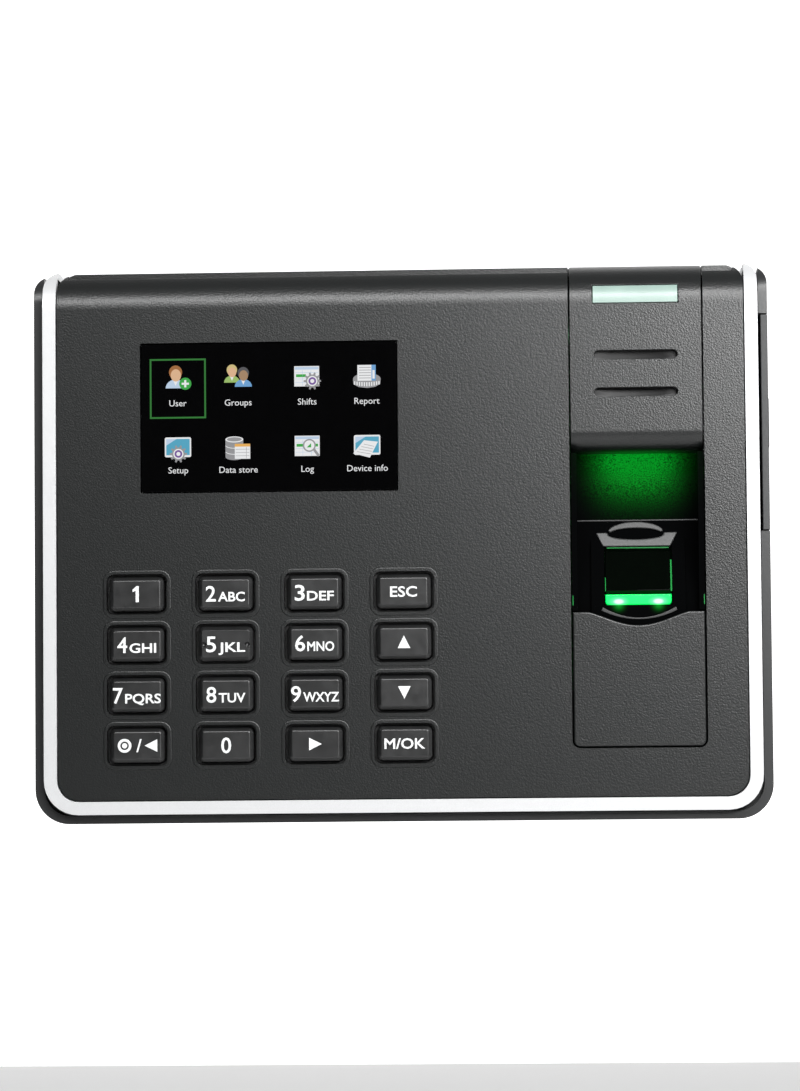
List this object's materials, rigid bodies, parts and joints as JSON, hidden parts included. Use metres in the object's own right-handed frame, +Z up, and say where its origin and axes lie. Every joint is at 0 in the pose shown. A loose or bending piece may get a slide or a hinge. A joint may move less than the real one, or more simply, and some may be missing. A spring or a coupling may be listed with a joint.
{
  "type": "fingerprint scanner terminal",
  "caption": "Wall-mounted fingerprint scanner terminal with a colour screen, a keypad, a rolled top edge, a silver trim and a finger bay over a lit optical window.",
  "frame": {"origin": "on the wall, behind the middle of the case's outline, in the plane of the wall plate's back face", "axes": "+X to the right seen from the front, +Y into the wall, +Z up"},
  "size_m": [0.1812, 0.0373, 0.1373],
  "materials": {
    "grained_black": "fine leather-grain moulded ABS, charcoal black",
    "satin_black": "fine satin moulded ABS, black",
    "silver_trim": "satin silver, softly rounded",
    "screen_gloss": "polished clear window over a black display mask, with lit icons",
    "display_glass": "dark display glass",
    "sheet_steel": "plated steel",
    "key_black": "satin to gloss black hard caps with bevelled edges",
    "black_rubber": "soft matt black rubber",
    "circuit_board": "green solder mask on glass-fibre board",
    "mint_lens": "milky pale green light lens",
    "bay_gloss": "polished black plastic",
    "prism_glass": "dark optical glass, green at its edges",
    "green_light": "lit green light guide",
    "plate_paint": "black powder coat on steel sheet",
    "grey_plastic": "plain moulded plastic",
    "ribbon_film": "amber flexible film",
    "white_print": "white printed legends"
  },
  "bodies": {
    "housing": {"front_cover": "grained_black", "sensor_fascia": "grained_black", "lower_panel": "grained_black", "rear_case": "satin_black", "speaker": "satin_black", "sensor_module": "satin_black", "tamper_switch": "satin_black", "power_jack": "satin_black", "cell_holder": "satin_black", "buzzer": "satin_black", "trim_frame": "silver_trim", "screen_window": "screen_gloss", "lcd_panel": "display_glass", "lcd_tray": "sheet_steel", "ethernet_jack": "sheet_steel", "usb_socket": "sheet_steel", "coin_cell": "sheet_steel", "case_screw_1": "sheet_steel", "case_screw_2": "sheet_steel", "case_screw_3": "sheet_steel", "case_screw_4": "sheet_steel", "board_screw_1": "sheet_steel", "board_screw_2": "sheet_steel", "board_screw_3": "sheet_steel", "board_screw_4": "sheet_steel", "lock_screw": "sheet_steel", "keypad_membrane": "black_rubber", "port_cover_strip": "black_rubber", "keypad_board": "circuit_board", "indicator_board": "circuit_board", "sensor_board": "circuit_board", "main_board": "circuit_board", "indicator_lens": "mint_lens", "finger_bay": "bay_gloss", "sensor_prism": "prism_glass", "sensor_light_bar": "green_light", "wall_plate": "plate_paint", "terminal_block": "grey_plastic", "lcd_ribbon": "ribbon_film", "keypad_ribbon": "ribbon_film"},
    "port_cover": {"port_cover": "black_rubber"},
    "tamper_plunger": {"tamper_plunger": "grey_plastic"},
    "key_1_1": {"key_1_1": "key_black"},
    "key_1_2": {"key_1_2": "key_black"},
    "key_1_3": {"key_1_3": "key_black"},
    "key_1_4": {"key_1_4": "key_black"},
    "key_2_1": {"key_2_1": "key_black"},
    "key_2_2": {"key_2_2": "key_black"},
    "key_2_3": {"key_2_3": "key_black"},
    "key_2_4": {"key_2_4": "key_black"},
    "key_3_1": {"key_3_1": "key_black"},
    "key_3_2": {"key_3_2": "key_black"},
    "key_3_3": {"key_3_3": "key_black"},
    "key_3_4": {"key_3_4": "key_black"},
    "key_4_1": {"key_4_1": "key_black"},
    "key_4_2": {"key_4_2": "key_black"},
    "key_4_3": {"key_4_3": "key_black"},
    "key_4_4": {"key_4_4": "key_black"}
  },
  "joints": [
    {"name": "key_1_1_press", "type": "slide", "parent": "housing", "child": "key_1_1", "axis": [0, 1, 0], "range_m": [0, 0.001], "stiffness_N_per_m": 700, "springref_m": -0.0006},
    {"name": "key_1_2_press", "type": "slide", "parent": "housing", "child": "key_1_2", "axis": [0, 1, 0], "range_m": [0, 0.001], "stiffness_N_per_m": 700, "springref_m": -0.0006},
    {"name": "key_1_3_press", "type": "slide", "parent": "housing", "child": "key_1_3", "axis": [0, 1, 0], "range_m": [0, 0.001], "stiffness_N_per_m": 700, "springref_m": -0.0006},
    {"name": "key_1_4_press", "type": "slide", "parent": "housing", "child": "key_1_4", "axis": [0, 1, 0], "range_m": [0, 0.001], "stiffness_N_per_m": 700, "springref_m": -0.0006},
    {"name": "key_2_1_press", "type": "slide", "parent": "housing", "child": "key_2_1", "axis": [0, 1, 0], "range_m": [0, 0.001], "stiffness_N_per_m": 700, "springref_m": -0.0006},
    {"name": "key_2_2_press", "type": "slide", "parent": "housing", "child": "key_2_2", "axis": [0, 1, 0], "range_m": [0, 0.001], "stiffness_N_per_m": 700, "springref_m": -0.0006},
    {"name": "key_2_3_press", "type": "slide", "parent": "housing", "child": "key_2_3", "axis": [0, 1, 0], "range_m": [0, 0.001], "stiffness_N_per_m": 700, "springref_m": -0.0006},
    {"name": "key_2_4_press", "type": "slide", "parent": "housing", "child": "key_2_4", "axis": [0, 1, 0], "range_m": [0, 0.001], "stiffness_N_per_m": 700, "springref_m": -0.0006},
    {"name": "key_3_1_press", "type": "slide", "parent": "housing", "child": "key_3_1", "axis": [0, 1, 0], "range_m": [0, 0.001], "stiffness_N_per_m": 700, "springref_m": -0.0006},
    {"name": "key_3_2_press", "type": "slide", "parent": "housing", "child": "key_3_2", "axis": [0, 1, 0], "range_m": [0, 0.001], "stiffness_N_per_m": 700, "springref_m": -0.0006},
    {"name": "key_3_3_press", "type": "slide", "parent": "housing", "child": "key_3_3", "axis": [0, 1, 0], "range_m": [0, 0.001], "stiffness_N_per_m": 700, "springref_m": -0.0006},
    {"name": "key_3_4_press", "type": "slide", "parent": "housing", "child": "key_3_4", "axis": [0, 1, 0], "range_m": [0, 0.001], "stiffness_N_per_m": 700, "springref_m": -0.0006},
    {"name": "key_4_1_press", "type": "slide", "parent": "housing", "child": "key_4_1", "axis": [0, 1, 0], "range_m": [0, 0.001], "stiffness_N_per_m": 700, "springref_m": -0.0006},
    {"name": "key_4_2_press", "type": "slide", "parent": "housing", "child": "key_4_2", "axis": [0, 1, 0], "range_m": [0, 0.001], "stiffness_N_per_m": 700, "springref_m": -0.0006},
    {"name": "key_4_3_press", "type": "slide", "parent": "housing", "child": "key_4_3", "axis": [0, 1, 0], "range_m": [0, 0.001], "stiffness_N_per_m": 700, "springref_m": -0.0006},
    {"name": "key_4_4_press", "type": "slide", "parent": "housing", "child": "key_4_4", "axis": [0, 1, 0], "range_m": [0, 0.001], "stiffness_N_per_m": 700, "springref_m": -0.0006},
    {"name": "port_cover_hinge", "type": "hinge", "parent": "housing", "child": "port_cover", "pos_m": [0.0906, -0.00715, 0.0287], "axis": [0, 0, 1], "range_deg": [0, 100], "stiffness_Nm_per_rad": 0.004, "springref_deg": -20.05},
    {"name": "tamper_plunger_press", "type": "slide", "parent": "housing", "child": "tamper_plunger", "axis": [0, -1, 0], "range_m": [0, 0.0012], "stiffness_N_per_m": 400, "springref_m": -0.001}
  ]
}
